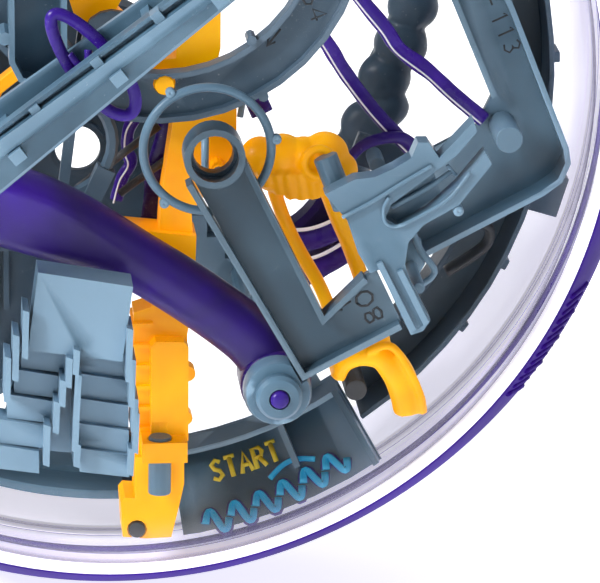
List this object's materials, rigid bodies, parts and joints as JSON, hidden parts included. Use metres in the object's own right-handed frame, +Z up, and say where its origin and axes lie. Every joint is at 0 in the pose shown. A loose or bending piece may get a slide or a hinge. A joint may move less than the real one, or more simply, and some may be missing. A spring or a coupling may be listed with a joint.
{
  "type": "maze ball puzzle",
  "caption": "Clear sphere with a purple ring round its middle, holding a maze of tracks, hoops, pockets and a tilting arm for a small steel ball.",
  "frame": {"origin": "centre of the clear sphere", "axes": "+Y along the axis of the purple ring towards the rear, -Y towards the front with the start pocket at the bottom, +Z up"},
  "size_m": [0.226, 0.208, 0.226],
  "materials": {
    "clear": "clear polished plastic",
    "purple": "glossy purple plastic",
    "purple_gloss": "high gloss purple plastic",
    "grey": "satin blue-grey plastic",
    "slate": "satin dark grey plastic",
    "yellow": "satin yellow plastic",
    "steel": "polished steel"
  },
  "bodies": {
    "frame": {"arm_cap": "grey", "arm_pin": "purple", "band_post": "grey", "beam_post": "grey", "bracket_peg": "grey", "bumpy_post": "slate", "bumpy_track": "slate", "channel_80": "grey", "column_foot_pin": "slate", "column_pin": "grey", "cup_channel": "grey", "dark_hoop": "slate", "diagonal_channel": "grey", "fork_plate": "grey", "fork_post": "grey", "front_shell": "clear", "hook_pin": "slate", "hoop": "grey", "left_channel": "slate", "left_channel_post": "grey", "left_dish": "grey", "left_track": "grey", "main_track": "slate", "purple_band": "purple", "purple_loop": "purple", "purple_rail_a": "purple", "purple_rail_b": "purple", "purple_strap": "purple", "rail_post": "grey", "rear_basket": "purple", "rear_column": "yellow", "rear_funnel": "slate", "rear_hoop": "purple", "rear_post": "slate", "rear_ramp_a": "grey", "rear_ramp_b": "grey", "rear_shell": "clear", "rear_stairs": "grey", "return_tray": "slate", "ring_front": "purple", "ring_rear": "purple", "round_peg_a": "yellow", "round_post_left": "grey", "round_post_right": "grey", "round_post_top": "grey", "round_track": "slate", "stair_block": "grey", "stair_post": "grey", "start_platform": "grey", "strap_post": "purple", "top_bridge": "purple", "wall_113": "grey", "wall_peg": "grey", "yellow_bracket": "yellow", "yellow_column": "yellow", "yellow_hanger": "yellow", "yellow_strap": "yellow"},
    "arm": {"swing_arm": "purple_gloss"},
    "ball": {"steel_ball": "steel"}
  },
  "joints": [
    {"name": "arm_tilt", "type": "hinge", "parent": "frame", "child": "arm", "pos_m": [0.0312, -0.0385, -0.0559], "axis": [0, 1, 0], "range_deg": [-5, 5]},
    {"name": "ball_roll", "type": "hinge", "parent": "frame", "child": "ball", "pos_m": [0, 0, 0], "axis": [0, 1, 0], "range_deg": [-9, 12]}
  ]
}
